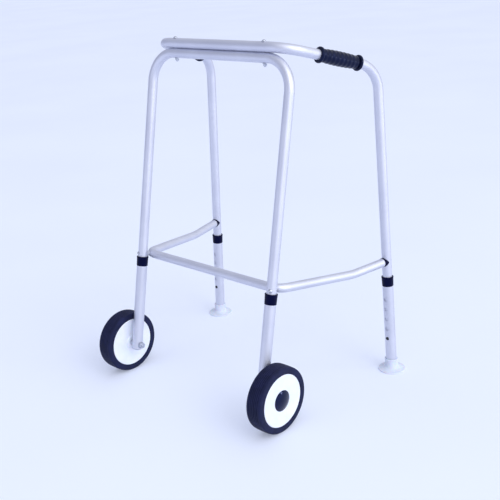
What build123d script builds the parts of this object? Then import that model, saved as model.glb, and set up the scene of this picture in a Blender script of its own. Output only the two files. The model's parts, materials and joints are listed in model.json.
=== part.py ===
from build123d import *
import math
import os

os.makedirs("parts", exist_ok=True)

# Height-adjustable walking frame with two front wheels, in millimetres.
# The origin is on the floor, in the middle of the frame. The wheels point to -Y and the user stands at +Y.

# Tubes
upper_diameter = 22.2
upper_wall = 1.5
telescope_play = 0.4
lower_wall = 1.2
brace_diameter = 20.0
brace_wall = 1.2

# Front frame: an inverted U that leans forward, with a wheel at the foot of each leg
wheel_radius = 75.0
front_half_width = 208.0
cross_tube_height = 770.5
front_lean = 148.0
front_bend = 66.0

# Handle frame: a front bar bolted on the cross tube, two sloping side runs and the two rear legs
handle_inset = 17.5
handle_depth = 228.5
shoulder_splay = 48.5
shoulder_drop = 45.5
handle_front_bend = 60.0
handle_rear_bend = 68.0
foot_splay = 35.5

# Leg adjustment: sprung buttons in the upper tubes and a row of holes in the lower tubes
hole_count = 5
hole_pitch = 25.0
hole_diameter = 8.4
first_hole_drop = 56.0
upper_tail = 20.0
button_diameter = 8.0
button_stand_out = 2.3
button_flange_diameter = 10.0
button_flange_thickness = 1.2
button_flange_play = 0.3
spring_width = 7.0
spring_thickness = 0.6
spring_reach = 17.0

# Collars at the top of the lower tubes
collar_wall = 1.3
collar_height = 23.0
collar_lip = 3.0
collar_play = 0.2
rear_collar_height = 240.0
collar_drop = 7.5

# Brace: a U in plan, from the rear legs round behind the front legs
brace_bolt_height = 300.5
brace_spacing = 3.5
brace_corner_bend = 33.0
brace_bolt_turn = 25.0
brace_splay = 12.8
brace_fall = 6.5
brace_kink_setback = 105.0
brace_kink_bend = 180.0
brace_end_height = 277.0
brace_saddle_radius = 6.0
brace_end_gap = 2.5
brace_end_proud = 0.8
brace_plug_depth = 22.0

# Grips
grip_start = 84.0
grip_length = 111.0
grip_flange_depth = 5.9
grip_flange_width = 4.0
grip_end_wall = 2.7
grip_middle_wall = 4.7

# Rear feet
foot_radius = 33.0
foot_rim = 3.5
foot_wall = 2.8
foot_neck_top = 28.5
foot_flare_top = 13.0
foot_seat = 7.0

# Wheels, counted outward from the leg's axis
wheel_width = 40.0
wheel_gap = 5.9
axle_play = 0.3
axle_diameter = 8.0
axle_running_clearance = 0.05
front_leg_tail = 10.5
rim_radius = 59.5
bead_depth = 3.5
bead_half_width = 6.0
rim_wall = 3.0
tyre_shoulder = 3.0
tyre_crown = 0.8
bush_wall = 2.95
hub_wall = 6.0
hub_boss_wall = 9.0
disc_rim_inset = 0.5
disc_edge = 1.5
disc_hub_inset = 2.5
pocket_radius = 18.5
pocket_depth = 7.5
cap_overlap = 5.3
cap_dome = 5.5
cap_wall = 2.0
spacer_radius = 8.0

# Fasteners
frame_bolt_diameter = 5.0
frame_bolt_inset = 8.5
bolt_hole_clearance = 0.2
frame_head_radius = 4.4
frame_head_height = 3.0
frame_nut_flats = 8.0
frame_nut_height = 4.0
frame_nut_dome = 3.4
frame_washer_radius = 5.2
frame_washer_thickness = 0.8
brace_screw_length = 40.0
axle_head_height = 5.3
axle_nut_flats = 13.0
axle_nut_height = 6.5
axle_bolt_tail = 2.0
axle_washer_radius = 8.4
axle_washer_thickness = 1.2
nut_chamfer = 0.8

# Front leg plugs
plug_dome = 5.0
plug_depth = 5.0

# Values worked out from the sizes above
upper_radius = upper_diameter / 2
upper_bore = upper_radius - upper_wall
lower_bore = upper_radius + telescope_play
lower_radius = lower_bore + lower_wall
lower_diameter = 2 * lower_radius
collar_radius = lower_radius + collar_wall
foot_neck_radius = lower_radius + foot_wall
grip_flange_radius = upper_radius + grip_flange_depth
grip_end_radius = upper_radius + grip_end_wall
grip_middle_radius = upper_radius + grip_middle_wall
brace_radius = brace_diameter / 2
brace_end_radius = brace_radius + brace_end_proud
button_flange_reach = math.sqrt(upper_bore**2 - (button_flange_diameter / 2) ** 2) - button_flange_play
button_flange_height = button_flange_reach - button_flange_thickness
bolt_radius = frame_bolt_diameter / 2
bolt_hole_radius = bolt_radius + bolt_hole_clearance
axle_radius = axle_diameter / 2
axle_hole_radius = axle_radius + bolt_hole_clearance
bush_bore = axle_radius + axle_running_clearance
bush_radius = bush_bore + bush_wall
hub_radius = bush_radius + hub_wall
hub_boss_radius = bush_radius + hub_boss_wall
cap_radius = pocket_radius + cap_overlap

front_reach = front_lean + wheel_radius
rear_reach = handle_depth + foot_radius
cross_y = (front_reach - rear_reach) / 2
axle_y = cross_y - front_lean
rear_y = cross_y + handle_depth
handle_height = cross_tube_height + upper_diameter
handle_half_width = front_half_width - handle_inset
shoulder_half_width = front_half_width + shoulder_splay
shoulder_height = cross_tube_height - shoulder_drop
rear_foot_half_width = shoulder_half_width + foot_splay
frame_bolt_offset = front_half_width - front_bend - frame_bolt_inset

sides = (("left", -1), ("right", 1))


def finish(piece, name):
    # Labels a finished piece and writes it out
    piece.part.label = name
    export_step(piece.part, f"parts/{name}.step")


def section(frame):
    # Sketch plane through a frame's axis: x is the distance out from the axis, y runs along it
    return Plane(origin=frame.origin, x_dir=frame.x_dir, z_dir=-frame.y_dir)


def centre_line(frame):
    return Axis(frame.origin, frame.z_dir)


def dome(radius, height, base=0.0):
    # Three points of a round dome's profile, from its rim to its top on the axis
    sphere = (radius**2 + height**2) / (2 * height)
    half_turn = math.atan2(radius, sphere - height) / 2
    between = (sphere * math.sin(half_turn), base + height - sphere * (1 - math.cos(half_turn)))
    return (radius, base), between, (0, base + height)


def front_leg(side):
    # Frame of a front leg: origin at the axle, z up the leg, y square to it towards the rear
    axle = Vector(side * front_half_width, axle_y, wheel_radius)
    corner = Vector(side * front_half_width, cross_y, cross_tube_height)
    return Plane(origin=axle, x_dir=(1, 0, 0), z_dir=(corner - axle).normalized())


def rear_leg(side):
    # Frame of a rear leg: origin on the floor, z up the leg, y towards the rear
    foot = Vector(side * rear_foot_half_width, rear_y, 0)
    shoulder = Vector(side * shoulder_half_width, rear_y, shoulder_height)
    up = (shoulder - foot).normalized()
    return Plane(origin=foot, x_dir=Vector(0, 1, 0).cross(up), z_dir=up)


def up_leg(frame, height):
    # Point on a leg's axis at a height above the floor
    return frame.origin + frame.z_dir * ((height - frame.origin.Z) / frame.z_dir.Z)


# Heights along each leg, from its frame's origin
brace_bolt_up = (up_leg(front_leg(1), brace_bolt_height) - front_leg(1).origin).length
front_collar_top = brace_bolt_up - collar_drop
rear_collar_top = rear_collar_height
button_drop = first_hole_drop + (hole_count - 1) * hole_pitch


def button_frame(leg, collar_top, outward):
    # Frame of a button: origin on the leg's axis, z out through the hole
    return Plane(
        origin=leg.origin + leg.z_dir * (collar_top - button_drop),
        x_dir=leg.x_dir,
        z_dir=outward,
    )


# Each leg: name, side, frame, collar's top, direction that the holes face, lower tube's end
legs = []
for side_name, side in sides:
    front = front_leg(side)
    rear = rear_leg(side)
    legs.append((f"front_{side_name}", side, front, front_collar_top, front.y_dir, -front_leg_tail))
    legs.append((f"rear_{side_name}", side, rear, rear_collar_top, -rear.y_dir, foot_seat))


def brace_bolt_frame(side):
    # Frame of a brace bolt: origin on the front leg's axis, z out towards the bolt's head
    leg = front_leg(side)
    turn = math.radians(brace_bolt_turn)
    outward = leg.x_dir * (side * math.sin(turn)) - leg.y_dir * math.cos(turn)
    return Plane(origin=leg.origin + leg.z_dir * brace_bolt_up, x_dir=leg.z_dir, z_dir=outward)


# Brace route: the bend behind each front leg is centred on that leg's bolt
brace_reach = upper_radius + brace_spacing + brace_radius
bend_reach = brace_reach + brace_corner_bend
bolt_turn = math.radians(brace_bolt_turn)
splay = math.radians(brace_splay)
fall = math.radians(brace_fall)
arm_slope = Vector(math.sin(splay), math.cos(splay) * math.cos(fall), -math.cos(splay) * math.sin(fall))
corner_turn = math.acos(arm_slope.X)
bar_setback = bend_reach * math.cos(bolt_turn) - brace_corner_bend
bar_point = brace_bolt_frame(1).origin + front_leg(1).y_dir * bar_setback
brace_half_width = (
    front_half_width - bend_reach * math.sin(bolt_turn) + brace_corner_bend * math.tan(corner_turn / 2)
)
brace_corner = Vector(brace_half_width, bar_point.Y, bar_point.Z)
brace_arm_reach = (rear_y - brace_kink_setback - brace_corner.Y) / arm_slope.Y
brace_kink = brace_corner + arm_slope * brace_arm_reach
brace_target = up_leg(rear_leg(1), brace_end_height)
end_direction = (brace_target - brace_kink).normalized()
brace_end = brace_target - end_direction * (upper_radius + brace_end_gap)


def mirrored(point):
    return Vector(-point.X, point.Y, point.Z)


def brace_end_frame(side):
    # Frame of a brace end: origin on the rear leg's axis, z forward along the brace
    direction = Vector(-side * end_direction.X, -end_direction.Y, -end_direction.Z)
    return Plane(origin=up_leg(rear_leg(side), brace_end_height), z_dir=direction)


brace_points = [mirrored(brace_end), mirrored(brace_kink), mirrored(brace_corner)]
brace_points += [brace_corner, brace_kink, brace_end]
brace_radii = [brace_kink_bend, brace_corner_bend, brace_corner_bend, brace_kink_bend]

# Front frame tube: one bent tube, drilled for the frame bolts, the brace bolts and the buttons
with BuildPart() as front_frame_tube:
    left_end = front_leg(-1).origin + front_leg(-1).z_dir * (front_collar_top - button_drop - upper_tail)
    right_end = mirrored(left_end)
    left_corner = Vector(-front_half_width, cross_y, cross_tube_height)
    with BuildLine():
        FilletPolyline(left_end, left_corner, mirrored(left_corner), right_end, radius=front_bend)
    with BuildSketch(Plane(origin=left_end, z_dir=left_corner - left_end)):
        Circle(upper_radius)
        Circle(upper_bore, mode=Mode.SUBTRACT)
    sweep()
    for side_name, side in sides:
        with BuildSketch(Plane.XY.offset(cross_tube_height)):
            with Locations((side * frame_bolt_offset, cross_y)):
                Circle(bolt_hole_radius)
        extrude(amount=upper_diameter, both=True, mode=Mode.SUBTRACT)
        with BuildSketch(brace_bolt_frame(side)):
            Circle(bolt_hole_radius)
        extrude(amount=upper_diameter, both=True, mode=Mode.SUBTRACT)
        leg = front_leg(side)
        with BuildSketch(button_frame(leg, front_collar_top, leg.y_dir)):
            Circle(hole_diameter / 2)
        extrude(amount=upper_diameter, mode=Mode.SUBTRACT)
finish(front_frame_tube, "front_frame_tube")

# Handle frame tube: front bar, side runs and upper rear legs in one bent tube
handle_corner = Vector(handle_half_width, cross_y, handle_height)
shoulder_corner = Vector(shoulder_half_width, rear_y, shoulder_height)
handle_run = (shoulder_corner - handle_corner).normalized()
with BuildPart() as handle_frame_tube:
    rear = rear_leg(1)
    tube_end = rear.origin + rear.z_dir * (rear_collar_top - button_drop - upper_tail)
    with BuildLine():
        FilletPolyline(
            mirrored(tube_end),
            mirrored(shoulder_corner),
            mirrored(handle_corner),
            handle_corner,
            shoulder_corner,
            tube_end,
            radius=[handle_rear_bend, handle_front_bend, handle_front_bend, handle_rear_bend],
        )
    with BuildSketch(Plane(origin=mirrored(tube_end), z_dir=mirrored(shoulder_corner - tube_end))):
        Circle(upper_radius)
        Circle(upper_bore, mode=Mode.SUBTRACT)
    sweep()
    for side_name, side in sides:
        with BuildSketch(Plane.XY.offset(handle_height)):
            with Locations((side * frame_bolt_offset, cross_y)):
                Circle(bolt_hole_radius)
        extrude(amount=upper_diameter, both=True, mode=Mode.SUBTRACT)
        leg = rear_leg(side)
        with BuildSketch(button_frame(leg, rear_collar_top, -leg.y_dir)):
            Circle(hole_diameter / 2)
        extrude(amount=upper_diameter, mode=Mode.SUBTRACT)
        with BuildSketch(brace_end_frame(side)):
            Circle(bolt_hole_radius)
        extrude(amount=upper_diameter, both=True, mode=Mode.SUBTRACT)
finish(handle_frame_tube, "handle_frame_tube")

# Brace: the solid bar is kept to shape the saddles, and the tube is the same bar bored out
with BuildPart() as brace_bar:
    with BuildLine():
        FilletPolyline(*brace_points, radius=brace_radii)
    with BuildSketch(Plane(origin=brace_points[0], z_dir=brace_points[1] - brace_points[0])):
        Circle(brace_radius)
    sweep()

with BuildPart() as brace_tube:
    with BuildLine():
        FilletPolyline(*brace_points, radius=brace_radii)
    with BuildSketch(Plane(origin=brace_points[0], z_dir=brace_points[1] - brace_points[0])):
        Circle(brace_radius)
        Circle(brace_radius - brace_wall, mode=Mode.SUBTRACT)
    sweep()
    for side_name, side in sides:
        with BuildSketch(brace_bolt_frame(side)):
            Circle(bolt_hole_radius)
        extrude(amount=-brace_reach - brace_diameter, mode=Mode.SUBTRACT)
finish(brace_tube, "brace_tube")

# Saddles between the front legs and the brace
with BuildPart() as front_brace_saddles:
    for side_name, side in sides:
        bolt = brace_bolt_frame(side)
        with BuildPart(mode=Mode.PRIVATE) as saddle:
            with BuildSketch(bolt):
                Circle(brace_saddle_radius)
                Circle(bolt_hole_radius, mode=Mode.SUBTRACT)
            extrude(amount=-brace_reach)
            leg = front_leg(side)
            with BuildSketch(leg.offset(brace_bolt_up - brace_saddle_radius * 2)):
                Circle(upper_radius)
            extrude(amount=brace_saddle_radius * 4, mode=Mode.SUBTRACT)
            add(brace_bar.part, mode=Mode.SUBTRACT)
        add(saddle.part)
finish(front_brace_saddles, "front_brace_saddles")

# Black saddles at the brace's ends: each seats on a rear leg and plugs into the tube
with BuildPart() as rear_brace_saddles:
    for side_name, side in sides:
        end = brace_end_frame(side)
        leg = rear_leg(side)
        joint_up = (end.origin - leg.origin).length
        with BuildPart(mode=Mode.PRIVATE) as saddle:
            with BuildSketch(end):
                Circle(brace_end_radius)
            extrude(amount=upper_radius + brace_end_gap)
            with BuildSketch(end.offset(upper_radius + brace_end_gap)):
                Circle(brace_radius - brace_wall)
            extrude(amount=brace_plug_depth)
            with BuildSketch(leg.offset(joint_up - brace_diameter)):
                Circle(upper_radius)
            extrude(amount=2 * brace_diameter, mode=Mode.SUBTRACT)
            with BuildSketch(end):
                Circle(bolt_radius)
            extrude(amount=brace_screw_length - upper_radius, mode=Mode.SUBTRACT)
        add(saddle.part)
finish(rear_brace_saddles, "rear_brace_saddles")

# Grips on the side runs
for side_name, side in sides:
    start = handle_corner + handle_run * grip_start
    direction = Vector(side * handle_run.X, handle_run.Y, handle_run.Z)
    grip_frame = Plane(origin=(side * start.X, start.Y, start.Z), z_dir=direction)
    with BuildPart() as grip:
        with BuildSketch(section(grip_frame)):
            with BuildLine():
                body_start = (grip_end_radius, 1.5 * grip_flange_width)
                body_end = (grip_end_radius, grip_length - 1.5 * grip_flange_width)
                Polyline(
                    (upper_radius, 0),
                    (grip_flange_radius, 0),
                    (grip_flange_radius, grip_flange_width),
                    body_start,
                )
                ThreePointArc(body_start, (grip_middle_radius, grip_length / 2), body_end)
                Polyline(
                    body_end,
                    (grip_flange_radius, grip_length - grip_flange_width),
                    (grip_flange_radius, grip_length),
                    (upper_radius, grip_length),
                    (upper_radius, 0),
                )
            make_face()
        revolve(axis=centre_line(grip_frame))
    finish(grip, f"{side_name}_grip")

# Lower legs, collars, buttons and button springs
for leg_name, side, leg, collar_top, outward, tube_bottom in legs:
    tube_top = collar_top - collar_lip
    with BuildPart() as lower_leg:
        with BuildSketch(leg.offset(tube_bottom)):
            Circle(lower_radius)
            Circle(lower_bore, mode=Mode.SUBTRACT)
        extrude(amount=tube_top - tube_bottom)
        for hole in range(hole_count):
            hole_up = collar_top - first_hole_drop - hole * hole_pitch
            with BuildSketch(Plane(origin=leg.origin + leg.z_dir * hole_up, z_dir=outward)):
                Circle(hole_diameter / 2)
            extrude(amount=lower_diameter, mode=Mode.SUBTRACT)
        if leg_name.startswith("front"):
            with BuildSketch(Plane(origin=leg.origin, z_dir=(1, 0, 0))):
                Circle(axle_hole_radius)
            extrude(amount=lower_diameter, both=True, mode=Mode.SUBTRACT)
    finish(lower_leg, f"{leg_name}_lower_leg")

    with BuildPart() as collar:
        with BuildSketch(leg.offset(collar_top - collar_height)):
            Circle(collar_radius)
            Circle(lower_radius, mode=Mode.SUBTRACT)
        extrude(amount=collar_height - collar_lip)
        with BuildSketch(leg.offset(tube_top)):
            Circle(collar_radius)
            Circle(upper_radius + collar_play, mode=Mode.SUBTRACT)
        extrude(amount=collar_lip)
    finish(collar, f"{leg_name}_collar")

    button_at = button_frame(leg, collar_top, outward)
    button_tip = lower_radius + button_stand_out
    button_shoulder = lower_radius + button_stand_out / 4
    with BuildPart() as button:
        with BuildSketch(section(button_at)):
            with BuildLine():
                tip_arc = dome(button_diameter / 2, button_tip - button_shoulder, button_shoulder)
                Polyline(
                    (0, button_tip),
                    (0, button_flange_height),
                    (button_flange_diameter / 2, button_flange_height),
                    (button_flange_diameter / 2, button_flange_reach),
                    (button_diameter / 2, button_flange_reach),
                    tip_arc[0],
                )
                ThreePointArc(*tip_arc)
            make_face()
        revolve(axis=centre_line(button_at))
    finish(button, f"{leg_name}_button")

    front_arm = button_flange_height - spring_thickness / 2
    back_arm = math.sqrt(upper_bore**2 - (spring_width / 2) ** 2) - spring_thickness
    arm_half = button_flange_diameter / 2
    spring_plane = Plane(
        origin=button_at.origin,
        x_dir=button_at.z_dir,
        z_dir=button_at.z_dir.cross(leg.z_dir),
    )
    with BuildPart() as button_spring:
        with BuildSketch(spring_plane):
            with BuildLine() as leaf:
                FilletPolyline(
                    (front_arm, arm_half),
                    (front_arm, -arm_half),
                    (0, -spring_reach),
                    (-back_arm, -arm_half),
                    (-back_arm, arm_half),
                    radius=2.5,
                )
            trace(line_width=spring_thickness)
        extrude(amount=spring_width / 2, both=True)
    finish(button_spring, f"{leg_name}_button_spring")

# Rear feet: a rubber neck on the tube's end and a wide flared base
for side_name, side in sides:
    leg = rear_leg(side)
    floor = Plane(origin=leg.origin, z_dir=(0, 0, 1))
    with BuildPart() as foot:
        with BuildSketch(section(floor)):
            with BuildLine():
                rim_top = (foot_radius - foot_rim / 2, foot_rim)
                neck_foot = (foot_neck_radius, foot_flare_top)
                flare = foot_radius - foot_neck_radius
                bow = (foot_neck_radius + flare / 3, foot_rim + foot_flare_top / 5)
                rim_foot = (foot_radius, foot_rim / 2)
                Polyline((0, foot_flare_top), (0, 0), (foot_radius, 0), rim_foot, rim_top)
                ThreePointArc(rim_top, bow, neck_foot)
                Line(neck_foot, (0, foot_flare_top))
            make_face()
        revolve(axis=centre_line(floor))
        with BuildSketch(leg.offset(foot_seat)):
            Circle(foot_neck_radius)
        extrude(amount=foot_neck_top - foot_seat)
        with BuildSketch(leg.offset(foot_seat)):
            Circle(lower_radius)
        extrude(amount=foot_neck_top, mode=Mode.SUBTRACT)
    finish(foot, f"rear_{side_name}_foot")


def axle_frame(side, distance):
    # Frame on a wheel's axle: z outward from the leg, origin at a distance from the leg's axis
    return Plane(
        origin=(side * (front_half_width + distance), axle_y, wheel_radius),
        x_dir=(0, 1, 0),
        z_dir=(side, 0, 0),
    )


# Distances outward from the leg's axis
wheel_inside = lower_radius + wheel_gap
wheel_middle = wheel_inside + wheel_width / 2
half_wheel = wheel_width / 2
disc_face = half_wheel - disc_hub_inset
rim_face = half_wheel - disc_rim_inset
pocket_floor = disc_face - pocket_depth
rim_inner = rim_radius - rim_wall
bead_radius = rim_radius - bead_depth
bead_inner = bead_radius - rim_wall
head_seat = wheel_middle + pocket_floor + axle_play + axle_washer_thickness


def hex_fastener(frame, flats, height):
    # A hexagon with its far corners chamfered, standing on the frame
    with BuildPart() as hexagon:
        with BuildSketch(frame):
            RegularPolygon(flats / 2, 6, major_radius=False)
        extrude(amount=height)
        corner = flats / math.sqrt(3)
        with BuildSketch(section(frame)):
            Polygon(
                (0, 0),
                (corner, 0),
                (corner, height - nut_chamfer / 2),
                (corner - nut_chamfer, height),
                (0, height),
                align=None,
            )
        revolve(axis=centre_line(frame), mode=Mode.INTERSECT)
    return hexagon.part


def cap_nut(frame):
    # A domed nut for a frame bolt: solid over the bolt's end, seated on the frame
    with BuildPart() as nut:
        add(hex_fastener(frame, frame_nut_flats, frame_nut_height))
        dome_radius = frame_nut_flats / 2 - nut_chamfer / 2
        with BuildSketch(section(frame.offset(frame_nut_height))):
            with BuildLine():
                Polyline((0, frame_nut_dome), (0, 0), (dome_radius, 0))
                ThreePointArc(*dome(dome_radius, frame_nut_dome))
            make_face()
        revolve(axis=centre_line(frame))
        with BuildSketch(frame):
            Circle(bolt_radius)
        extrude(amount=frame_nut_height, mode=Mode.SUBTRACT)
    return nut.part


def round_head_bolt(frame, length):
    # A domed bolt: the frame is the head's seat, and the shank runs back from it
    with BuildPart() as bolt:
        with BuildSketch(section(frame)):
            with BuildLine():
                shank_end = (bolt_radius, -length)
                rim = (frame_head_radius, 0)
                Polyline((0, frame_head_height), (0, -length), shank_end, (bolt_radius, 0), rim)
                ThreePointArc(*dome(frame_head_radius, frame_head_height))
            make_face()
        revolve(axis=centre_line(frame))
    return bolt.part


def washer(frame, outer, inner, thickness):
    with BuildPart() as ring:
        with BuildSketch(frame):
            Circle(outer)
            Circle(inner, mode=Mode.SUBTRACT)
        extrude(amount=thickness)
    return ring.part


# Frame bolts through the handle bar and the cross tube, with washers and cap nuts
bar_top = handle_height + upper_radius
bar_bottom = cross_tube_height - upper_radius
with BuildPart() as frame_bolts:
    for side_name, side in sides:
        seat = Plane(origin=(side * frame_bolt_offset, cross_y, bar_top + frame_washer_thickness))
        length = seat.origin.Z - bar_bottom + frame_washer_thickness + frame_nut_height
        add(round_head_bolt(seat, length))
finish(frame_bolts, "frame_bolts")

with BuildPart() as frame_washers:
    for side_name, side in sides:
        for height in (bar_top, bar_bottom - frame_washer_thickness):
            seat = Plane(origin=(side * frame_bolt_offset, cross_y, height))
            add(washer(seat, frame_washer_radius, bolt_hole_radius, frame_washer_thickness))
finish(frame_washers, "frame_washers")

with BuildPart() as frame_nuts:
    for side_name, side in sides:
        seat_height = bar_bottom - frame_washer_thickness
        add(cap_nut(Plane(origin=(side * frame_bolt_offset, cross_y, seat_height), z_dir=(0, 0, -1))))
finish(frame_nuts, "frame_nuts")

# Bolts that hold the brace behind the front legs
bend_inside = brace_corner_bend - brace_radius
nut_corner = frame_nut_flats / math.sqrt(3)
brace_back = brace_reach + brace_radius + bend_inside - math.sqrt(bend_inside**2 - nut_corner**2)
with BuildPart() as brace_bolts:
    for side_name, side in sides:
        seat = brace_bolt_frame(side).offset(upper_radius)
        add(round_head_bolt(seat, upper_radius + brace_back + frame_nut_height))
finish(brace_bolts, "brace_bolts")

with BuildPart() as brace_nuts:
    for side_name, side in sides:
        bolt = brace_bolt_frame(side)
        seat = Plane(origin=bolt.origin - bolt.z_dir * brace_back, x_dir=bolt.x_dir, z_dir=-bolt.z_dir)
        add(cap_nut(seat))
finish(brace_nuts, "brace_nuts")

# Screws through the rear legs into the brace's end plugs
with BuildPart() as brace_end_screws:
    for side_name, side in sides:
        end = brace_end_frame(side)
        lean = frame_head_radius * abs(end.z_dir.dot(rear_leg(side).z_dir))
        seat = Plane(origin=end.origin - end.z_dir * (upper_radius + lean), z_dir=-end.z_dir)
        add(round_head_bolt(seat, brace_screw_length + lean))
finish(brace_end_screws, "brace_end_screws")

# Wheels
for side_name, side in sides:
    leg = front_leg(side)
    middle = axle_frame(side, wheel_middle)
    with BuildPart() as tyre:
        with BuildSketch(section(middle)):
            with BuildLine():
                tread = wheel_radius - tyre_crown
                tread_edge = half_wheel - tyre_shoulder
                side_top = wheel_radius - tyre_crown - tyre_shoulder
                bow = tyre_shoulder * (1 - math.sin(math.pi / 4))
                ThreePointArc((tread, -tread_edge), (wheel_radius, 0), (tread, tread_edge))
                ThreePointArc((tread, tread_edge), (tread - bow, half_wheel - bow), (side_top, half_wheel))
                Polyline(
                    (side_top, half_wheel),
                    (rim_radius, rim_face),
                    (rim_radius, bead_half_width),
                    (bead_radius, bead_half_width),
                    (bead_radius, -bead_half_width),
                    (rim_radius, -bead_half_width),
                    (rim_radius, -rim_face),
                    (side_top, -half_wheel),
                )
                ThreePointArc((side_top, -half_wheel), (tread - bow, bow - half_wheel), (tread, -tread_edge))
            make_face()
        revolve(axis=centre_line(middle))
    finish(tyre, f"{side_name}_tyre")

    with BuildPart() as outer_half:
        with BuildSketch(section(middle)):
            Polygon(
                (bush_radius, 0),
                (bush_radius, pocket_floor),
                (pocket_radius, pocket_floor),
                (pocket_radius, disc_face),
                (cap_radius + disc_edge, disc_face),
                (rim_radius - disc_edge, rim_face),
                (rim_radius, rim_face - disc_edge),
                (rim_radius, bead_half_width),
                (bead_radius, bead_half_width),
                (bead_radius, 0),
                (bead_inner, 0),
                (bead_inner, bead_half_width + rim_wall),
                (rim_inner, bead_half_width + rim_wall),
                (rim_inner, rim_face - rim_wall),
                (pocket_radius + rim_wall, disc_face - rim_wall),
                (pocket_radius + rim_wall, pocket_floor - rim_wall),
                (hub_radius, pocket_floor - rim_wall),
                (hub_radius, 0),
                align=None,
            )
        revolve(axis=centre_line(middle))
    finish(outer_half, f"{side_name}_wheel_outer_half")

    with BuildPart() as inner_half:
        with BuildSketch(section(middle)):
            Polygon(
                (bush_radius, 0),
                (bush_radius, -half_wheel),
                (hub_boss_radius, -half_wheel),
                (hub_boss_radius, -disc_face),
                (cap_radius + disc_edge, -disc_face),
                (rim_radius - disc_edge, -rim_face),
                (rim_radius, disc_edge - rim_face),
                (rim_radius, -bead_half_width),
                (bead_radius, -bead_half_width),
                (bead_radius, 0),
                (bead_inner, 0),
                (bead_inner, -bead_half_width - rim_wall),
                (rim_inner, -bead_half_width - rim_wall),
                (rim_inner, rim_wall - rim_face),
                (hub_radius, rim_wall - disc_face),
                (hub_radius, 0),
                align=None,
            )
        revolve(axis=centre_line(middle))
    finish(inner_half, f"{side_name}_wheel_inner_half")

    with BuildPart() as bush:
        with BuildSketch(axle_frame(side, wheel_inside)):
            Circle(bush_radius)
            Circle(bush_bore, mode=Mode.SUBTRACT)
        extrude(amount=half_wheel + pocket_floor)
    finish(bush, f"{side_name}_wheel_bush")

    with BuildPart() as hub_cap:
        with BuildSketch(section(middle.offset(disc_face))):
            with BuildLine():
                inner_dome = cap_dome - cap_wall
                ThreePointArc(*dome(cap_radius, cap_dome))
                Line((0, cap_dome), (0, inner_dome))
                ThreePointArc(*dome(pocket_radius - cap_wall, inner_dome))
                Polyline(
                    (pocket_radius - cap_wall, 0),
                    (pocket_radius - cap_wall, cap_wall - pocket_depth),
                    (pocket_radius, cap_wall - pocket_depth),
                    (pocket_radius, 0),
                    (cap_radius, 0),
                )
            make_face()
        revolve(axis=centre_line(middle))
    finish(hub_cap, f"{side_name}_hub_cap")

    bolt_seat = axle_frame(side, head_seat)
    nut_inside = lower_radius + axle_washer_thickness
    with BuildPart() as axle_bolt:
        add(hex_fastener(bolt_seat, axle_nut_flats, axle_head_height))
        with BuildSketch(bolt_seat):
            Circle(axle_radius)
        extrude(amount=-head_seat - nut_inside - axle_nut_height - axle_bolt_tail)
    finish(axle_bolt, f"{side_name}_axle_bolt")

    with BuildPart() as axle_nut:
        nut_seat = Plane(
            origin=(side * (front_half_width - nut_inside), axle_y, wheel_radius),
            x_dir=(0, 1, 0),
            z_dir=(-side, 0, 0),
        )
        add(hex_fastener(nut_seat, axle_nut_flats, axle_nut_height))
        with BuildSketch(nut_seat):
            Circle(axle_radius)
        extrude(amount=axle_nut_height, mode=Mode.SUBTRACT)
    finish(axle_nut, f"{side_name}_axle_nut")

    with BuildPart() as axle_washers:
        outer_seat = axle_frame(side, head_seat - axle_washer_thickness)
        add(washer(outer_seat, axle_washer_radius, axle_radius, axle_washer_thickness))
        inner_seat = axle_frame(side, -nut_inside)
        add(washer(inner_seat, axle_washer_radius, axle_radius, axle_washer_thickness))
    finish(axle_washers, f"{side_name}_axle_washers")

    with BuildPart() as axle_spacer:
        with BuildSketch(axle_frame(side, 0)):
            Circle(spacer_radius)
            Circle(axle_radius, mode=Mode.SUBTRACT)
        extrude(amount=wheel_inside - axle_play)
        with BuildSketch(leg.offset(-lower_diameter)):
            Circle(lower_radius)
        extrude(amount=2 * lower_diameter, mode=Mode.SUBTRACT)
    finish(axle_spacer, f"{side_name}_axle_spacer")

    tube_end = leg.offset(-front_leg_tail)
    below = Plane(origin=tube_end.origin, x_dir=tube_end.x_dir, z_dir=-tube_end.z_dir)
    with BuildPart() as leg_plug:
        with BuildSketch(section(below)):
            with BuildLine():
                plug_top = (lower_bore, -plug_depth)
                Polyline((0, plug_dome), (0, -plug_depth), plug_top, (lower_bore, 0), (lower_radius, 0))
                ThreePointArc(*dome(lower_radius, plug_dome))
            make_face()
        revolve(axis=centre_line(below))
    finish(leg_plug, f"front_{side_name}_leg_plug")
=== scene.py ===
import bpy
import bmesh
import json
import math
import numpy as np
from mathutils import Matrix, Vector


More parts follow.
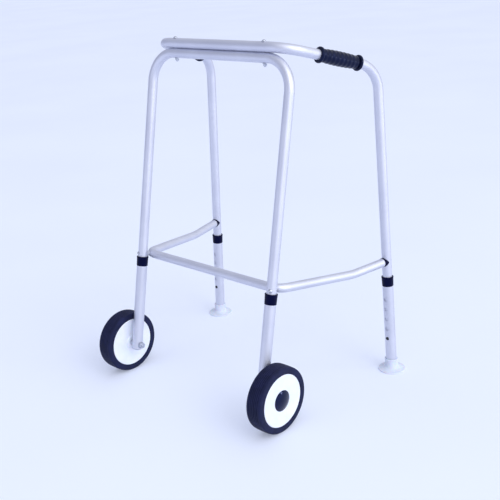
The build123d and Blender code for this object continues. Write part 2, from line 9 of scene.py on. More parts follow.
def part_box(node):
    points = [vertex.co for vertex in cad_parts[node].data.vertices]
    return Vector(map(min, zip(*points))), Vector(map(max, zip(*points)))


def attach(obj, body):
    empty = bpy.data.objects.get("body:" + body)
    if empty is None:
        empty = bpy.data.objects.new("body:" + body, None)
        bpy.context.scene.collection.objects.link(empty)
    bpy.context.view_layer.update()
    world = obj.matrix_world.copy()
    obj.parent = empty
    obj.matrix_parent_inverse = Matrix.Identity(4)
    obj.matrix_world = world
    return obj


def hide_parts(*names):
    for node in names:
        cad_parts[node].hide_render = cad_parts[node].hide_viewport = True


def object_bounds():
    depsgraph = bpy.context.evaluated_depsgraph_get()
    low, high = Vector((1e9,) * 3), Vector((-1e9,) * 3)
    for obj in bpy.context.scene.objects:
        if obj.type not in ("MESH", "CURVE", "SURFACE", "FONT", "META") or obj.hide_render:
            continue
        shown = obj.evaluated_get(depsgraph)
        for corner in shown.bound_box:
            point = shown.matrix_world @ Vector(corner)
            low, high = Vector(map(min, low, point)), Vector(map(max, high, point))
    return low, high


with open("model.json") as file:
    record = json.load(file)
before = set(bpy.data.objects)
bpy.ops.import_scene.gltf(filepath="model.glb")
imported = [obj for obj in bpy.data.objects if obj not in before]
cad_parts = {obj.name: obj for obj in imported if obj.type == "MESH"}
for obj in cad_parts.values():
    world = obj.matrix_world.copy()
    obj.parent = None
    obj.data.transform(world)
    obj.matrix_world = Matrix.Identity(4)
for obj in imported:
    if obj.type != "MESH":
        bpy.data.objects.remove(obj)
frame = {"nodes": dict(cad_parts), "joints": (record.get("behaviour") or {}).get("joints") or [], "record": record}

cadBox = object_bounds()
nodes = frame["nodes"]
millimetre = 0.001
sides = (("left", -1), ("right", 1))


def linearColour(hexColour):
    # sRGB hex to the linear colour that the shaders take
    channels = [int(hexColour[i : i + 2], 16) / 255 for i in (1, 3, 5)]
    linear = [c / 12.92 if c <= 0.04045 else ((c + 0.055) / 1.055) ** 2.4 for c in channels]
    return (*linear, 1.0)


def perMillimetre(size):
    # texture scale that repeats once in this many millimetres
    return 1 / (size * millimetre)


def addNode(tree, kind, settings=None, links=None):
    # settings go to the node itself or to its input of that name, links bring outputs to its inputs
    node = tree.nodes.new(kind)
    for key, value in (settings or {}).items():
        if key == "ramp":
            first, last = node.color_ramp.elements
            first.position, last.position = value[0][0], value[-1][0]
            first.color, last.color = linearColour(value[0][1]), linearColour(value[-1][1])
            for position, colour in value[1:-1]:
                node.color_ramp.elements.new(position).color = linearColour(colour)
        elif isinstance(key, str) and hasattr(node, key):
            setattr(node, key, value)
        else:
            node.inputs[key].default_value = value
    for socket, source in (links or {}).items():
        tree.links.new(source, node.inputs[socket])
    return node


def newFinish(name, shaderValues):
    # a material whose uniform values sit on the shader's own sockets
    material = bpy.data.materials.new(name)
    material.use_nodes = True
    tree = material.node_tree
    shader = tree.nodes["Principled BSDF"]
    for socket, value in shaderValues.items():
        shader.inputs[socket].default_value = value
    place = addNode(tree, "ShaderNodeTexCoord").outputs["Object"]
    return material, tree, shader, place


anodisedTube = {
    "pale": "#D8DAE6",
    "grey": "#D2D4E1",
    "cloudSize": 60,
    "gritSize": 1.6,
    "roughness": (0.50, 0.58),
    "metallic": 1.0,
    "relief": 0.03,
    "gritDepth": 0.0002,
}


def anodisedAluminium(look):
    # drawn aluminium tube, etched and clear anodised: an even satin silver with soft streaks along it
    material, tree, shader, place = newFinish("satinAnodisedAluminium", {"Metallic": look["metallic"]})
    clouds = addNode(
        tree,
        "ShaderNodeTexNoise",
        {"Scale": perMillimetre(look["cloudSize"]), "Detail": 3.0},
        {"Vector": place},
    )
    tone = addNode(
        tree,
        "ShaderNodeValToRGB",
        {"ramp": [(0.35, look["grey"]), (0.65, look["pale"])]},
        {"Fac": clouds.outputs["Fac"]},
    )
    tree.links.new(tone.outputs["Color"], shader.inputs["Base Color"])
    # the etched grit is about 0.05 mm, too fine to show, so it is drawn coarser
    grit = addNode(
        tree,
        "ShaderNodeTexNoise",
        {"Scale": perMillimetre(look["gritSize"]), "Detail": 4.0},
        {"Vector": place},
    )
    wear = addNode(
        tree,
        "ShaderNodeMapRange",
        {"To Min": look["roughness"][0], "To Max": look["roughness"][1]},
        {"Value": grit.outputs["Fac"]},
    )
    tree.links.new(wear.outputs["Result"], shader.inputs["Roughness"])
    relief = addNode(
        tree,
        "ShaderNodeBump",
        {"Strength": look["relief"], "Distance": look["gritDepth"]},
        {"Height": grit.outputs["Fac"]},
    )
    tree.links.new(relief.outputs["Normal"], shader.inputs["Normal"])
    return material


zincPlate = {"bright": "#DADDE6", "dull": "#9FA4B2", "spangleSize": 2.5, "roughness": (0.2, 0.36)}


def zincPlatedSteel(look):
    # cold-headed steel, bright zinc plated: a small bright metal with a slightly cloudy shine
    material, tree, shader, place = newFinish("brightZincPlatedSteel", {"Metallic": 1.0})
    spangle = addNode(
        tree,
        "ShaderNodeTexVoronoi",
        {"Scale": perMillimetre(look["spangleSize"])},
        {"Vector": place},
    )
    tone = addNode(
        tree,
        "ShaderNodeValToRGB",
        {"ramp": [(0.1, look["bright"]), (0.9, look["dull"])]},
        {"Fac": spangle.outputs["Distance"]},
    )
    tree.links.new(tone.outputs["Color"], shader.inputs["Base Color"])
    shine = addNode(
        tree,
        "ShaderNodeMapRange",
        {"To Min": look["roughness"][0], "To Max": look["roughness"][1]},
        {"Value": spangle.outputs["Distance"]},
    )
    tree.links.new(shine.outputs["Result"], shader.inputs["Roughness"])
    return material


bluedSpring = {"light": "#8A8E99", "dark": "#5E626E", "rollSize": 3.0}


def rolledSpringSteel(look):
    # cold-rolled spring strip: grey, with fine lines from the rolls
    material, tree, shader, place = newFinish("coldRolledSpringSteel", {"Metallic": 1.0, "Roughness": 0.34})
    rolls = addNode(
        tree,
        "ShaderNodeTexNoise",
        {"Scale": perMillimetre(look["rollSize"]), "Detail": 2.0},
        {"Vector": place},
    )
    tone = addNode(
        tree,
        "ShaderNodeValToRGB",
        {"ramp": [(0.3, look["dark"]), (0.7, look["light"])]},
        {"Fac": rolls.outputs["Fac"]},
    )
    tree.links.new(tone.outputs["Color"], shader.inputs["Base Color"])
    return material


def mouldedPlastic(name, look):
    # the texture of a mould: slow colour drift, an orange-peel bump and uneven gloss
    material, tree, shader, place = newFinish(name, look["shader"])
    drift = addNode(
        tree,
        "ShaderNodeTexNoise",
        {"Scale": perMillimetre(look["driftSize"]), "Detail": 3.0},
        {"Vector": place},
    )
    tone = addNode(
        tree,
        "ShaderNodeValToRGB",
        {"ramp": [(0.35, look["dark"]), (0.65, look["light"])]},
        {"Fac": drift.outputs["Fac"]},
    )
    tree.links.new(tone.outputs["Color"], shader.inputs["Base Color"])
    peel = addNode(
        tree,
        "ShaderNodeTexNoise",
        {"Scale": perMillimetre(look["peelSize"]), "Detail": 4.0},
        {"Vector": place},
    )
    gloss = addNode(
        tree,
        "ShaderNodeMapRange",
        {"To Min": look["roughness"][0], "To Max": look["roughness"][1]},
        {"Value": peel.outputs["Fac"]},
    )
    tree.links.new(gloss.outputs["Result"], shader.inputs["Roughness"])
    relief = addNode(
        tree,
        "ShaderNodeBump",
        {"Strength": look["relief"], "Distance": 0.0003},
        {"Height": peel.outputs["Fac"]},
    )
    tree.links.new(relief.outputs["Normal"], shader.inputs["Normal"])
    return material


# soft PVC, moulded: black with a broad sheen on every rib
blackVinyl = {
    "dark": "#05091F",
    "light": "#080E2A",
    "driftSize": 14,
    "peelSize": 1.2,
    "roughness": (0.24, 0.34),
    "relief": 0.12,
    "shader": {"IOR": 1.53, "Specular IOR Level": 0.30, "Specular Tint": linearColour("#A9BAFF")},
}
# glass-filled nylon, moulded: near black with a light sheen
blackNylon = {
    "dark": "#030524",
    "light": "#04082C",
    "driftSize": 9,
    "peelSize": 0.9,
    "roughness": (0.34, 0.48),
    "relief": 0.15,
    "shader": {"IOR": 1.53, "Specular IOR Level": 0.12, "Specular Tint": linearColour("#A9B6FF")},
}
# ABS from a polished mould: deep gloss black, one sharp highlight
glossAbs = {
    "dark": "#050920",
    "light": "#080D2A",
    "driftSize": 20,
    "peelSize": 2.5,
    "roughness": (0.08, 0.14),
    "relief": 0.04,
    "shader": {"IOR": 1.54, "Specular IOR Level": 0.42, "Specular Tint": linearColour("#A4B4FF")},
}
# carbon-filled tyre rubber, moulded: dusty blue-black, no sharp highlight
tyreRubber = {
    "dark": "#141833",
    "light": "#1B1F40",
    "driftSize": 18,
    "peelSize": 1.5,
    "roughness": (0.55, 0.72),
    "relief": 0.3,
    "shader": {"IOR": 1.52, "Specular IOR Level": 0.25, "Specular Tint": linearColour("#C9D2FF")},
}
# white thermoplastic rubber, moulded: soft white with light just under its surface
whiteRubber = {
    "dark": "#CBD3E3",
    "light": "#D6DCEA",
    "driftSize": 16,
    "peelSize": 1.5,
    "roughness": (0.5, 0.62),
    "relief": 0.12,
    "shader": {"IOR": 1.5, "Subsurface Weight": 0.15, "Subsurface Scale": 0.004},
}
# polypropylene, moulded: clean white, slightly waxy
whitePolypropylene = {
    "dark": "#DFE4EF",
    "light": "#E7EBF4",
    "driftSize": 30,
    "peelSize": 2.2,
    "roughness": (0.34, 0.44),
    "relief": 0.06,
    "shader": {"IOR": 1.49, "Subsurface Weight": 0.08, "Subsurface Scale": 0.003},
}
# acetal, moulded: smooth black with a soft shine
blackAcetal = {
    "dark": "#0D0F18",
    "light": "#141722",
    "driftSize": 5,
    "peelSize": 0.8,
    "roughness": (0.25, 0.34),
    "relief": 0.06,
    "shader": {"IOR": 1.48},
}
# unfilled nylon, moulded: milky off-white
naturalNylon = {
    "dark": "#DCDCD4",
    "light": "#E8E8E2",
    "driftSize": 8,
    "peelSize": 1.0,
    "roughness": (0.36, 0.46),
    "relief": 0.08,
    "shader": {"IOR": 1.53, "Subsurface Weight": 0.2, "Subsurface Scale": 0.003},
}
# grey polyethylene, moulded: light grey, dull and waxy
greyPolyethylene = {
    "dark": "#9FA3B2",
    "light": "#ADB1BF",
    "driftSize": 8,
    "peelSize": 1.0,
    "roughness": (0.42, 0.54),
    "relief": 0.1,
    "shader": {"IOR": 1.5},
}

finishes = {
    "anodised_aluminium": anodisedAluminium(anodisedTube),
    "zinc_steel": zincPlatedSteel(zincPlate),
    "spring_steel": rolledSpringSteel(bluedSpring),
    "black_grip_vinyl": mouldedPlastic("mouldedBlackVinyl", blackVinyl),
    "black_nylon": mouldedPlastic("mouldedBlackNylon", blackNylon),
    "gloss_black_abs": mouldedPlastic("polishedBlackAbs", glossAbs),
    "tyre_rubber": mouldedPlastic("mouldedTyreRubber", tyreRubber),
    "white_rubber": mouldedPlastic("mouldedWhiteRubber", whiteRubber),
    "white_polypropylene": mouldedPlastic("mouldedWhitePolypropylene", whitePolypropylene),
    "black_acetal": mouldedPlastic("mouldedBlackAcetal", blackAcetal),
    "natural_nylon": mouldedPlastic("mouldedNaturalNylon", naturalNylon),
    "grey_plastic": mouldedPlastic("mouldedGreyPolyethylene", greyPolyethylene),
}
slotOf = {
    part["name"] if "name" in part else part["node"]: part["material_slot"]
    for part in frame["record"]["subparts"]
}
for nodeName, node in nodes.items():
    node.data.materials.clear()
    node.data.materials.append(finishes[slotOf[nodeName]])
print("finishes on the CAD nodes:", len(finishes))


def roundCorners(corners, turnPerStep=15):
    # corners are (along, radius, fillet) of a closed outline; a corner with a fillet becomes an arc
    outline = []
    for i, (along, radius, fillet) in enumerate(corners):
        here = Vector((along, radius))
        if not fillet:
            outline.append(here)
            continue
        back = Vector(corners[i - 1][:2]) - here
        ahead = Vector(corners[(i + 1) % len(corners)][:2]) - here
        opening = back.angle(ahead)
        reach = min(fillet / math.tan(opening / 2), 0.48 * back.length, 0.48 * ahead.length)
        fillet = reach * math.tan(opening / 2)
        centre = here + (back.normalized() + ahead.normalized()).normalized() * fillet / math.sin(opening / 2)
        start = here + back.normalized() * reach - centre
        turn = start.angle_signed(here + ahead.normalized() * reach - centre)
        steps = max(2, round(abs(math.degrees(turn)) / turnPerStep))
        for step in range(steps + 1):
            outline.append(centre + Matrix.Rotation(-turn * step / steps, 2) @ start)
    return outline


def shaftOf(node, axis=None):
    # the line that a turned CAD node is turned about: its foot, its direction and its length
    points = np.array([v.co for v in nodes[node].data.vertices])
    if axis is None:
        axis = np.linalg.svd(points - points.mean(0), full_matrices=False)[2][0]
    axis = Vector(axis).normalized()
    across = axis.orthogonal().normalized()
    over = axis.cross(across)
    alongs, acrosses, overs = (points @ np.array(v) for v in (axis, across, over))
    middle = across * (acrosses.min() + acrosses.max()) / 2 + over * (overs.min() + overs.max()) / 2
    return middle + axis * alongs.min(), axis, alongs.max() - alongs.min()


def turnPiece(name, outline, foot, axis, body, replaced, slotName, steps=96):
    # turns a closed outline of (along, radius) in millimetres about the axis, from its foot
    across = axis.orthogonal().normalized()
    over = axis.cross(across)
    work = bmesh.new()
    rings = []
    for step in range(steps):
        angle = 2 * math.pi * step / steps
        out = across * math.cos(angle) + over * math.sin(angle)
        rings.append([work.verts.new(foot + (axis * p[0] + out * p[1]) * millimetre) for p in outline])
    for ring, nextRing in zip(rings, rings[1:] + rings[:1]):
        for i in range(len(outline)):
            j = (i + 1) % len(outline)
            if outline[i][1] > 1e-6 or outline[j][1] > 1e-6:
                work.faces.new((ring[i], ring[j], nextRing[j], nextRing[i]))
    bmesh.ops.remove_doubles(work, verts=work.verts, dist=1e-6)
    bmesh.ops.dissolve_degenerate(work, dist=1e-7, edges=work.edges)
    bmesh.ops.recalc_face_normals(work, faces=work.faces)
    mesh = bpy.data.meshes.new(name)
    work.to_mesh(mesh)
    work.free()
    mesh.polygons.foreach_set("use_smooth", [True] * len(mesh.polygons))
    mesh.set_sharp_from_angle(angle=math.radians(32))
    piece = bpy.data.objects.new(name, mesh)
    bpy.context.scene.collection.objects.link(piece)
    mesh.materials.append(finishes[slotName])
    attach(piece, body)
    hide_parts(replaced)
    return piece


# handgrips: a rolled ring at each end and a ribbed barrel between them
grip = {
    "bore": 11.1,
    "ringRadius": 17.3,
    "ringWidth": 6.2,
    "ringFillet": 2.9,
    "endRadius": 13.2,
    "middleRadius": 15.5,
    "ribHeight": 0.6,
    "ribPitch": 10.7,
    "pointsPerRib": 10,
    "bulgePower": 0.8,
}
for sideName, side in sides:
    foot, axis, length = shaftOf(f"{sideName}_grip")
    lengthMm = length / millimetre
    bodyStart = grip["ringWidth"] + 1.2
    bodyLength = lengthMm - 2 * bodyStart
    ribs = round(bodyLength / grip["ribPitch"])
    firstRing = [
        (0, grip["bore"], 0.0),
        (0, grip["ringRadius"], grip["ringFillet"]),
        (grip["ringWidth"], grip["ringRadius"], grip["ringFillet"]),
        (grip["ringWidth"] + 0.6, grip["endRadius"], 0.0),
    ]
    lastRing = [(lengthMm - along, radius, fillet) for along, radius, fillet in reversed(firstRing)]
    barrel = []
    for i in range(ribs * grip["pointsPerRib"] + 1):
        share = i / (ribs * grip["pointsPerRib"])
        bulge = math.sin(math.pi * share) ** grip["bulgePower"]
        swell = grip["endRadius"] + (grip["middleRadius"] - grip["endRadius"]) * bulge
        rib = grip["ribHeight"] * math.sin(math.pi * ribs * share) ** 2
        barrel.append((bodyStart + bodyLength * share, swell + rib, 0.0))
    turnPiece(
        f"{sideName}RibbedGrip",
        roundCorners(firstRing + barrel + lastRing),
        foot,
        axis,
        "frame",
        f"{sideName}_grip",
        "black_grip_vinyl",
    )
print("grips: ribs", ribs)

# collars at the top of each lower tube: slightly wider at the lip than at the foot
collar = {
    "lipBore": 11.35,
    "tubeBore": 12.7,
    "lip": 3.0,
    "footRadius": 13.3,
    "topRadius": 13.85,
    "flare": 14.25,
}
for joint in frame["joints"]:
    if not joint["name"].endswith("_leg_height"):
        continue
    leg = joint["child"]
    collarName = leg[: -len("_leg")] + "_collar"
    foot, axis, length = shaftOf(collarName, -Vector(joint["axis"]))
    top = length / millimetre
    corners = [
        (0, collar["tubeBore"], 0.0),
        (0, collar["footRadius"], 0.5),
        (top - 4.5, collar["topRadius"], 3.0),
        (top - 2.0, collar["flare"], 1.0),
        (top, collar["flare"] - 0.1, 0.6),
        (top, collar["lipBore"], 0.4),
        (top - collar["lip"], collar["lipBore"], 0.0),
        (top - collar["lip"], collar["tubeBore"], 0.0),
    ]
    words = collarName.split("_")
    pieceName = words[0] + "".join(w.capitalize() for w in words[1:])
    turnPiece(pieceName, roundCorners(corners), foot, axis, leg, collarName, "black_nylon", 72)
print("collars done")

# rear feet: a rubber neck round the tube, a thin wide flare and rings under the sole
rubberFoot = {
    "soleRadius": 33.0,
    "rimHeight": 3.2,
    "neckRadius": 15.5,
    "neckBead": 16.0,
    "flareTop": 13.0,
    "seat": 7.0,
    "bore": 12.7,
    "soleRings": (26.0, 19.0, 12.0),
}
for sideName, side in sides:
    footNode = f"rear_{sideName}_foot"
    low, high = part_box(footNode)
    base = Vector(((low.x + high.x) / 2, (low.y + high.y) / 2, low.z))
    neckTop = 28.5
    look = rubberFoot
    corners = [(0, 0, 0.0)]
    for ringRadius in reversed(look["soleRings"]):
        corners += [
            (0, ringRadius, 0.0),
            (0.8, ringRadius + 0.6, 0.0),
            (0.8, ringRadius + 2.2, 0.0),
            (0, ringRadius + 2.8, 0.0),
        ]
    corners += [(0, look["soleRadius"], 1.0), (look["rimHeight"], look["soleRadius"] - 1.2, 1.2)]
    for step in range(1, 12):
        # the flare rises slowly at the rim and steeply at the neck
        turn = math.radians(90 * step / 12)
        corners.append(
            (
                look["rimHeight"] + (look["flareTop"] - look["rimHeight"]) * (1 - math.cos(turn)),
                look["soleRadius"] - 1.2 - (look["soleRadius"] - 1.2 - look["neckRadius"]) * math.sin(turn),
                0.0,
            )
        )
    corners += [
        (look["flareTop"] + 1.5, look["neckRadius"], 0.0),
        (neckTop - 3.2, look["neckRadius"], 0.6),
        (neckTop - 2.6, look["neckBead"], 0.5),
        (neckTop, look["neckBead"], 0.8),
        (neckTop, look["bore"], 0.3),
        (look["seat"], look["bore"], 0.0),
        (look["seat"], 0, 0.0),
    ]
    body = f"rear_{sideName}_leg"
    piece = turnPiece(
        f"{sideName}RubberFoot",
        roundCorners(corners),
        base,
        Vector((0, 0, 1)),
        body,
        footNode,
        "white_rubber",
    )
    lean = [j for j in frame["joints"] if j["name"] == f"rear_{sideName}_leg_height"][0]["axis"]
    for vertex in piece.data.vertices:
        vertex.co.x += vertex.co.z * lean[0] / lean[2]  # the neck follows the tube's lean
print("feet done")

# wheels, in millimetres outward from the middle of the tyre
wheel = {
    "tyreRadius": 75.0,
    "halfWidth": 20.0,
    "rimRadius": 59.5,
    "beadRadius": 56.0,
    "beadHalf": 6.0,
    "shoulder": 4.0,
    "crown": 0.8,
    "grooves": 6,
    "groovePitch": 4.6,
    "grooveWidth": 1.4,
    "grooveDepth": 1.3,
}
disc = {
    "bushRadius": 7.0,
    "hubRadius": 13.0,
    "bossRadius": 16.0,
    "pocketRadius": 18.5,
    "pocketFloor": 10.0,
    "face": 17.5,
    "rimFace": 19.5,
    "capSeat": 25.3,
    "wall": 3.0,
}
hubCap = {"radius": 23.8, "dome": 5.5, "wall": 2.0, "plug": 18.5, "plugDepth": 5.5, "edge": 0.9}


def tyreOutline(look):
    half, radius = look["halfWidth"], look["tyreRadius"]
    side = [
        (half - 0.6, look["rimRadius"], 0.3),
        (half - 0.9, look["rimRadius"] + 0.9, 0.4),
        (half - 0.25, look["rimRadius"] + 2.2, 0.8),
        (half, look["rimRadius"] + 5.0, 12.0),
        (half - 0.1, radius - look["shoulder"] - 0.3, 3.0),
        (half - 0.9, radius - look["shoulder"] * 0.45, 2.0),
        (half - look["shoulder"] * 0.5, radius - look["shoulder"] * 0.26, 2.0),
        (half - look["shoulder"] * 1.1, radius - look["crown"] * 0.6, 2.0),
    ]
    tread = []
    for i in range(look["grooves"]):
        place = (i - (look["grooves"] - 1) / 2) * look["groovePitch"]
        lift = radius - look["crown"] * (place / half) ** 2
        w, d = look["grooveWidth"] / 2, look["grooveDepth"]
        tread += [
            (place - w, lift, 0.15),
            (place - w * 0.6, lift - d, 0.2),
            (place + w * 0.6, lift - d, 0.2),
            (place + w, lift, 0.15),
        ]
    bead = [
        (-look["beadHalf"], look["rimRadius"], 0.0),
        (-look["beadHalf"], look["beadRadius"], 0.0),
        (look["beadHalf"], look["beadRadius"], 0.0),
        (look["beadHalf"], look["rimRadius"], 0.0),
    ]
    return side, tread, bead


for sideName, side in sides:
    body = f"{sideName}_wheel"
    low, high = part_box(f"{sideName}_tyre")
    middle = (low + high) / 2
    outward = Vector((side, 0, 0))
    shoulder, tread, bead = tyreOutline(wheel)
    otherShoulder = [(-along, radius, fillet) for along, radius, fillet in reversed(shoulder)]
    corners = bead + shoulder + list(reversed(tread)) + otherShoulder
    turnPiece(
        f"{sideName}GroovedTyre",
        roundCorners(corners),
        middle,
        outward,
        body,
        f"{sideName}_tyre",
        "tyre_rubber",
        144,
    )

    look = disc
    outer = [
        (0, look["bushRadius"], 0.0),
        (look["pocketFloor"], look["bushRadius"], 0.3),
        (look["pocketFloor"], look["pocketRadius"], 0.8),
        (look["face"], look["pocketRadius"], 0.4),
        (look["face"], look["capSeat"], 6.0),
        (look["rimFace"] - 0.25, wheel["rimRadius"] - 5.0, 3.0),
        (look["rimFace"], wheel["rimRadius"] - 1.4, 0.8),
        (look["rimFace"] - 1.0, wheel["rimRadius"] - 0.1, 0.5),
        (wheel["beadHalf"], wheel["rimRadius"], 0.0),
        (wheel["beadHalf"], wheel["beadRadius"], 0.0),
        (0, wheel["beadRadius"], 0.0),
        (0, wheel["beadRadius"] - look["wall"], 0.0),
        (wheel["beadHalf"] + look["wall"], wheel["beadRadius"] - look["wall"], 0.0),
        (wheel["beadHalf"] + look["wall"], wheel["rimRadius"] - look["wall"], 0.0),
        (look["rimFace"] - look["wall"], wheel["rimRadius"] - look["wall"], 1.0),
        (look["face"] - look["wall"], look["pocketRadius"] + look["wall"], 0.0),
        (look["pocketFloor"] - look["wall"], look["pocketRadius"] + look["wall"], 0.0),
        (look["pocketFloor"] - look["wall"], look["hubRadius"], 0.0),
        (0, look["hubRadius"], 0.0),
    ]
    turnPiece(
        f"{sideName}OuterDisc",
        roundCorners(outer),
        middle,
        outward,
        body,
        f"{sideName}_wheel_outer_half",
        "white_polypropylene",
        144,
    )
    inner = [
        (0, look["bushRadius"], 0.0),
        (wheel["halfWidth"], look["bushRadius"], 0.4),
        (wheel["halfWidth"], look["bossRadius"], 0.8),
        (look["face"], look["bossRadius"] + 0.6, 1.5),
        (look["face"], look["capSeat"], 6.0),
        (look["rimFace"] - 0.25, wheel["rimRadius"] - 5.0, 3.0),
        (look["rimFace"], wheel["rimRadius"] - 1.4, 0.8),
        (look["rimFace"] - 1.0, wheel["rimRadius"] - 0.1, 0.5),
        (wheel["beadHalf"], wheel["rimRadius"], 0.0),
        (wheel["beadHalf"], wheel["beadRadius"], 0.0),
        (0, wheel["beadRadius"], 0.0),
        (0, wheel["beadRadius"] - look["wall"], 0.0),
        (wheel["beadHalf"] + look["wall"], wheel["beadRadius"] - look["wall"], 0.0),
        (wheel["beadHalf"] + look["wall"], wheel["rimRadius"] - look["wall"], 0.0),
        (look["rimFace"] - look["wall"], wheel["rimRadius"] - look["wall"], 1.0),
        (look["face"] - look["wall"], look["hubRadius"], 0.0),
        (0, look["hubRadius"], 0.0),
    ]
    turnPiece(
        f"{sideName}InnerDisc",
        roundCorners(inner),
        middle,
        -outward,
        body,
        f"{sideName}_wheel_inner_half",
        "white_polypropylene",
        144,
    )

    sphere = (hubCap["radius"] ** 2 + hubCap["dome"] ** 2) / (2 * hubCap["dome"])
    domeSteps = 16
    capCorners = []
    for step in range(domeSteps + 1):
        radius = (hubCap["radius"] - hubCap["edge"]) * step / domeSteps
        lift = math.sqrt(sphere**2 - radius**2) - sphere + hubCap["dome"]
        capCorners.append((look["face"] + lift, radius, 0.0))
    capCorners += [
        (look["face"] + 0.25, hubCap["radius"] - 0.15, 0.1),
        (look["face"], hubCap["radius"], 0.1),
        (look["face"], hubCap["plug"], 0.0),
        (look["face"] - hubCap["plugDepth"], hubCap["plug"], 0.3),
        (look["face"] - hubCap["plugDepth"], hubCap["plug"] - hubCap["wall"], 0.3),
        (look["face"], hubCap["plug"] - hubCap["wall"], 0.0),
        (look["face"] + hubCap["dome"] - hubCap["wall"], 0, 0.0),
    ]
    turnPiece(
        f"{sideName}HubCap",
        roundCorners(capCorners),
        middle,
        outward,
        body,
        f"{sideName}_hub_cap",
        "gloss_black_abs",
        96,
    )
print("wheels done")


floorLook = {
    "pale": "#CDD2E0",
    "shade": "#CACFDE",
    "size": 60,
    "patch": 900,
    "glow": "#E2EAFF",
    "glowStrength": 0.26,
}


def studioFloor(look):
    # matt painted board: very pale blue-white, with slow changes of tone
    material, tree, shader, place = newFinish(
        "mattPaintedFloor",
        {
            "Roughness": 0.9,
            "Specular IOR Level": 0.1,
            "Emission Color": linearColour(look["glow"]),
            "Emission Strength": look["glowStrength"],
        },
    )
    patches = addNode(
        tree,
        "ShaderNodeTexNoise",
        {"Scale": perMillimetre(look["patch"]), "Detail": 2.0},
        {"Vector": place},
    )
    tone = addNode(
        tree,
        "ShaderNodeValToRGB",
        {"ramp": [(0.35, look["shade"]), (0.65, look["pale"])]},
        {"Fac": patches.outputs["Fac"]},
    )
    tree.links.new(tone.outputs["Color"], shader.inputs["Base Color"])
    work = bmesh.new()
    bmesh.ops.create_grid(work, x_segments=8, y_segments=8, size=look["size"] / 2)
    mesh = bpy.data.meshes.new("studioFloor")
    work.to_mesh(mesh)
    work.free()
    mesh.materials.append(material)
    floor = bpy.data.objects.new("studioFloor", mesh)
    bpy.context.scene.collection.objects.link(floor)


studioFloor(floorLook)

skyLook = {
    "bright": "#F2F6FF",
    "dim": "#B0B6CE",
    "towards": (0.66, 0.50, 0.56),
    "strength": 0.93,
    "band": "#E9F3FF",
    "bandHeight": 0.22,
}


def studioSky(look):
    # a soft tent of light: bright on the right, dimmer on the left
    world = bpy.data.worlds.new("softTent")
    world.use_nodes = True
    bpy.context.scene.world = world
    tree = world.node_tree
    tree.nodes["Background"].inputs["Strength"].default_value = look["strength"]
    direction = addNode(tree, "ShaderNodeTexCoord").outputs["Generated"]
    facing = addNode(
        tree,
        "ShaderNodeVectorMath",
        {"operation": "DOT_PRODUCT"},
        {0: direction},
    )
    facing.inputs[1].default_value = Vector(look["towards"]).normalized()
    share = addNode(
        tree,
        "ShaderNodeMapRange",
        {"From Min": -0.7, "From Max": 0.8},
        {"Value": facing.outputs["Value"]},
    )
    tone = addNode(
        tree,
        "ShaderNodeValToRGB",
        {"ramp": [(0.0, look["dim"]), (1.0, look["bright"])]},
        {"Fac": share.outputs["Result"]},
    )
    # seen straight on, the sky near the floor's edge takes the floor's tone, so no hard horizon shows
    height = addNode(tree, "ShaderNodeSeparateXYZ", links={"Vector": direction})
    band = addNode(
        tree,
        "ShaderNodeMapRange",
        {"From Min": 0.0, "From Max": look["bandHeight"]},
        {"Value": height.outputs["Z"]},
    )
    seen = addNode(tree, "ShaderNodeLightPath").outputs["Is Camera Ray"]
    unseen = addNode(tree, "ShaderNodeMath", {"operation": "SUBTRACT", 0: 1.0}, {1: seen})
    blend = addNode(
        tree,
        "ShaderNodeMath",
        {"operation": "MAXIMUM"},
        {0: band.outputs["Result"], 1: unseen.outputs["Value"]},
    )
    bandTone = addNode(
        tree,
        "ShaderNodeMix",
        {"data_type": "RGBA", 6: linearColour(look["band"])},
        {0: blend.outputs["Value"], 7: tone.outputs["Color"]},
    )
    tree.links.new(bandTone.outputs[2], tree.nodes["Background"].inputs["Color"])


studioSky(skyLook)

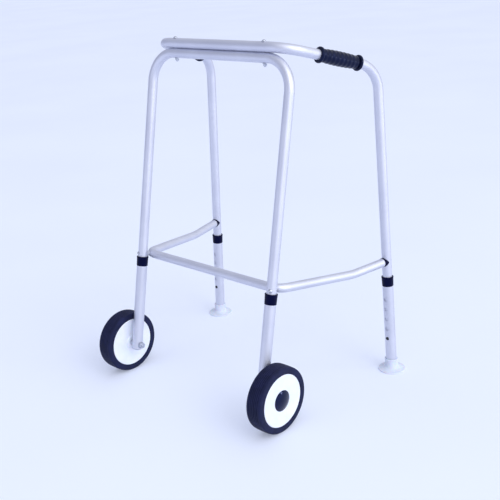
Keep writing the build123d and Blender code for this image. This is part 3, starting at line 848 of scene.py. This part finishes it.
lamps = {
    "keySun": {"kind": "SUN", "from": (3.2, -0.4, 3.0), "energy": 1.05, "angle": 75, "colour": "#FBFCFF"},
    "rightBox": {"kind": "AREA", "from": (6.5, -1.0, 4.2), "energy": 120, "size": 4.5, "colour": "#F7FAFF"},
    "lowBox": {"kind": "AREA", "from": (2.9, 1.75, 0.42), "energy": 7, "size": 0.5, "colour": "#F7FAFF"},
    "lowFill": {"kind": "AREA", "from": (-0.9, -2.6, 0.7), "energy": 4.5, "size": 1.4, "colour": "#EEF2FF"},
}
objectMiddle = (cadBox[0] + cadBox[1]) / 2
for lampName, look in lamps.items():
    lamp = bpy.data.lights.new(lampName, look["kind"])
    lamp.energy = look["energy"]
    lamp.color = linearColour(look["colour"])[:3]
    if look["kind"] == "SUN":
        lamp.angle = math.radians(look["angle"])
    else:
        lamp.shape = "DISK"
        lamp.size = look["size"]
    lampObject = bpy.data.objects.new(lampName, lamp)
    lampObject.location = look["from"]
    lampObject.visible_camera = False
    lampObject.rotation_euler = (objectMiddle - Vector(look["from"])).to_track_quat("-Z", "Y").to_euler()
    bpy.context.scene.collection.objects.link(lampObject)

cameraLook = {
    "place": (1.3281, -1.3585, 0.9947),
    "yaw": 43.50,
    "pitch": -19.78,
    "roll": -3.59,
    "lens": 61.27,
    "sensor": 36,
    "clip": (0.05, 200),
}


def studioCamera(look):
    yaw, pitch, roll = (math.radians(look[k]) for k in ("yaw", "pitch", "roll"))
    ahead = Vector((-math.sin(yaw) * math.cos(pitch), math.cos(yaw) * math.cos(pitch), math.sin(pitch)))
    level = ahead.cross(Vector((0, 0, 1))).normalized()
    upright = level.cross(ahead)
    right = level * math.cos(roll) + upright * math.sin(roll)
    up = upright * math.cos(roll) - level * math.sin(roll)
    lens = bpy.data.cameras.new("studioCamera")
    lens.lens = look["lens"]
    lens.sensor_width = look["sensor"]
    lens.clip_start, lens.clip_end = look["clip"]
    camera = bpy.data.objects.new("studioCamera", lens)
    turn = Matrix((right, up, -ahead)).transposed()
    camera.matrix_world = Matrix.Translation(Vector(look["place"])) @ turn.to_4x4()
    bpy.context.scene.collection.objects.link(camera)
    bpy.context.scene.camera = camera


studioCamera(cameraLook)
bpy.context.scene.view_settings.view_transform = "Standard"
print("floor, light and camera ready")
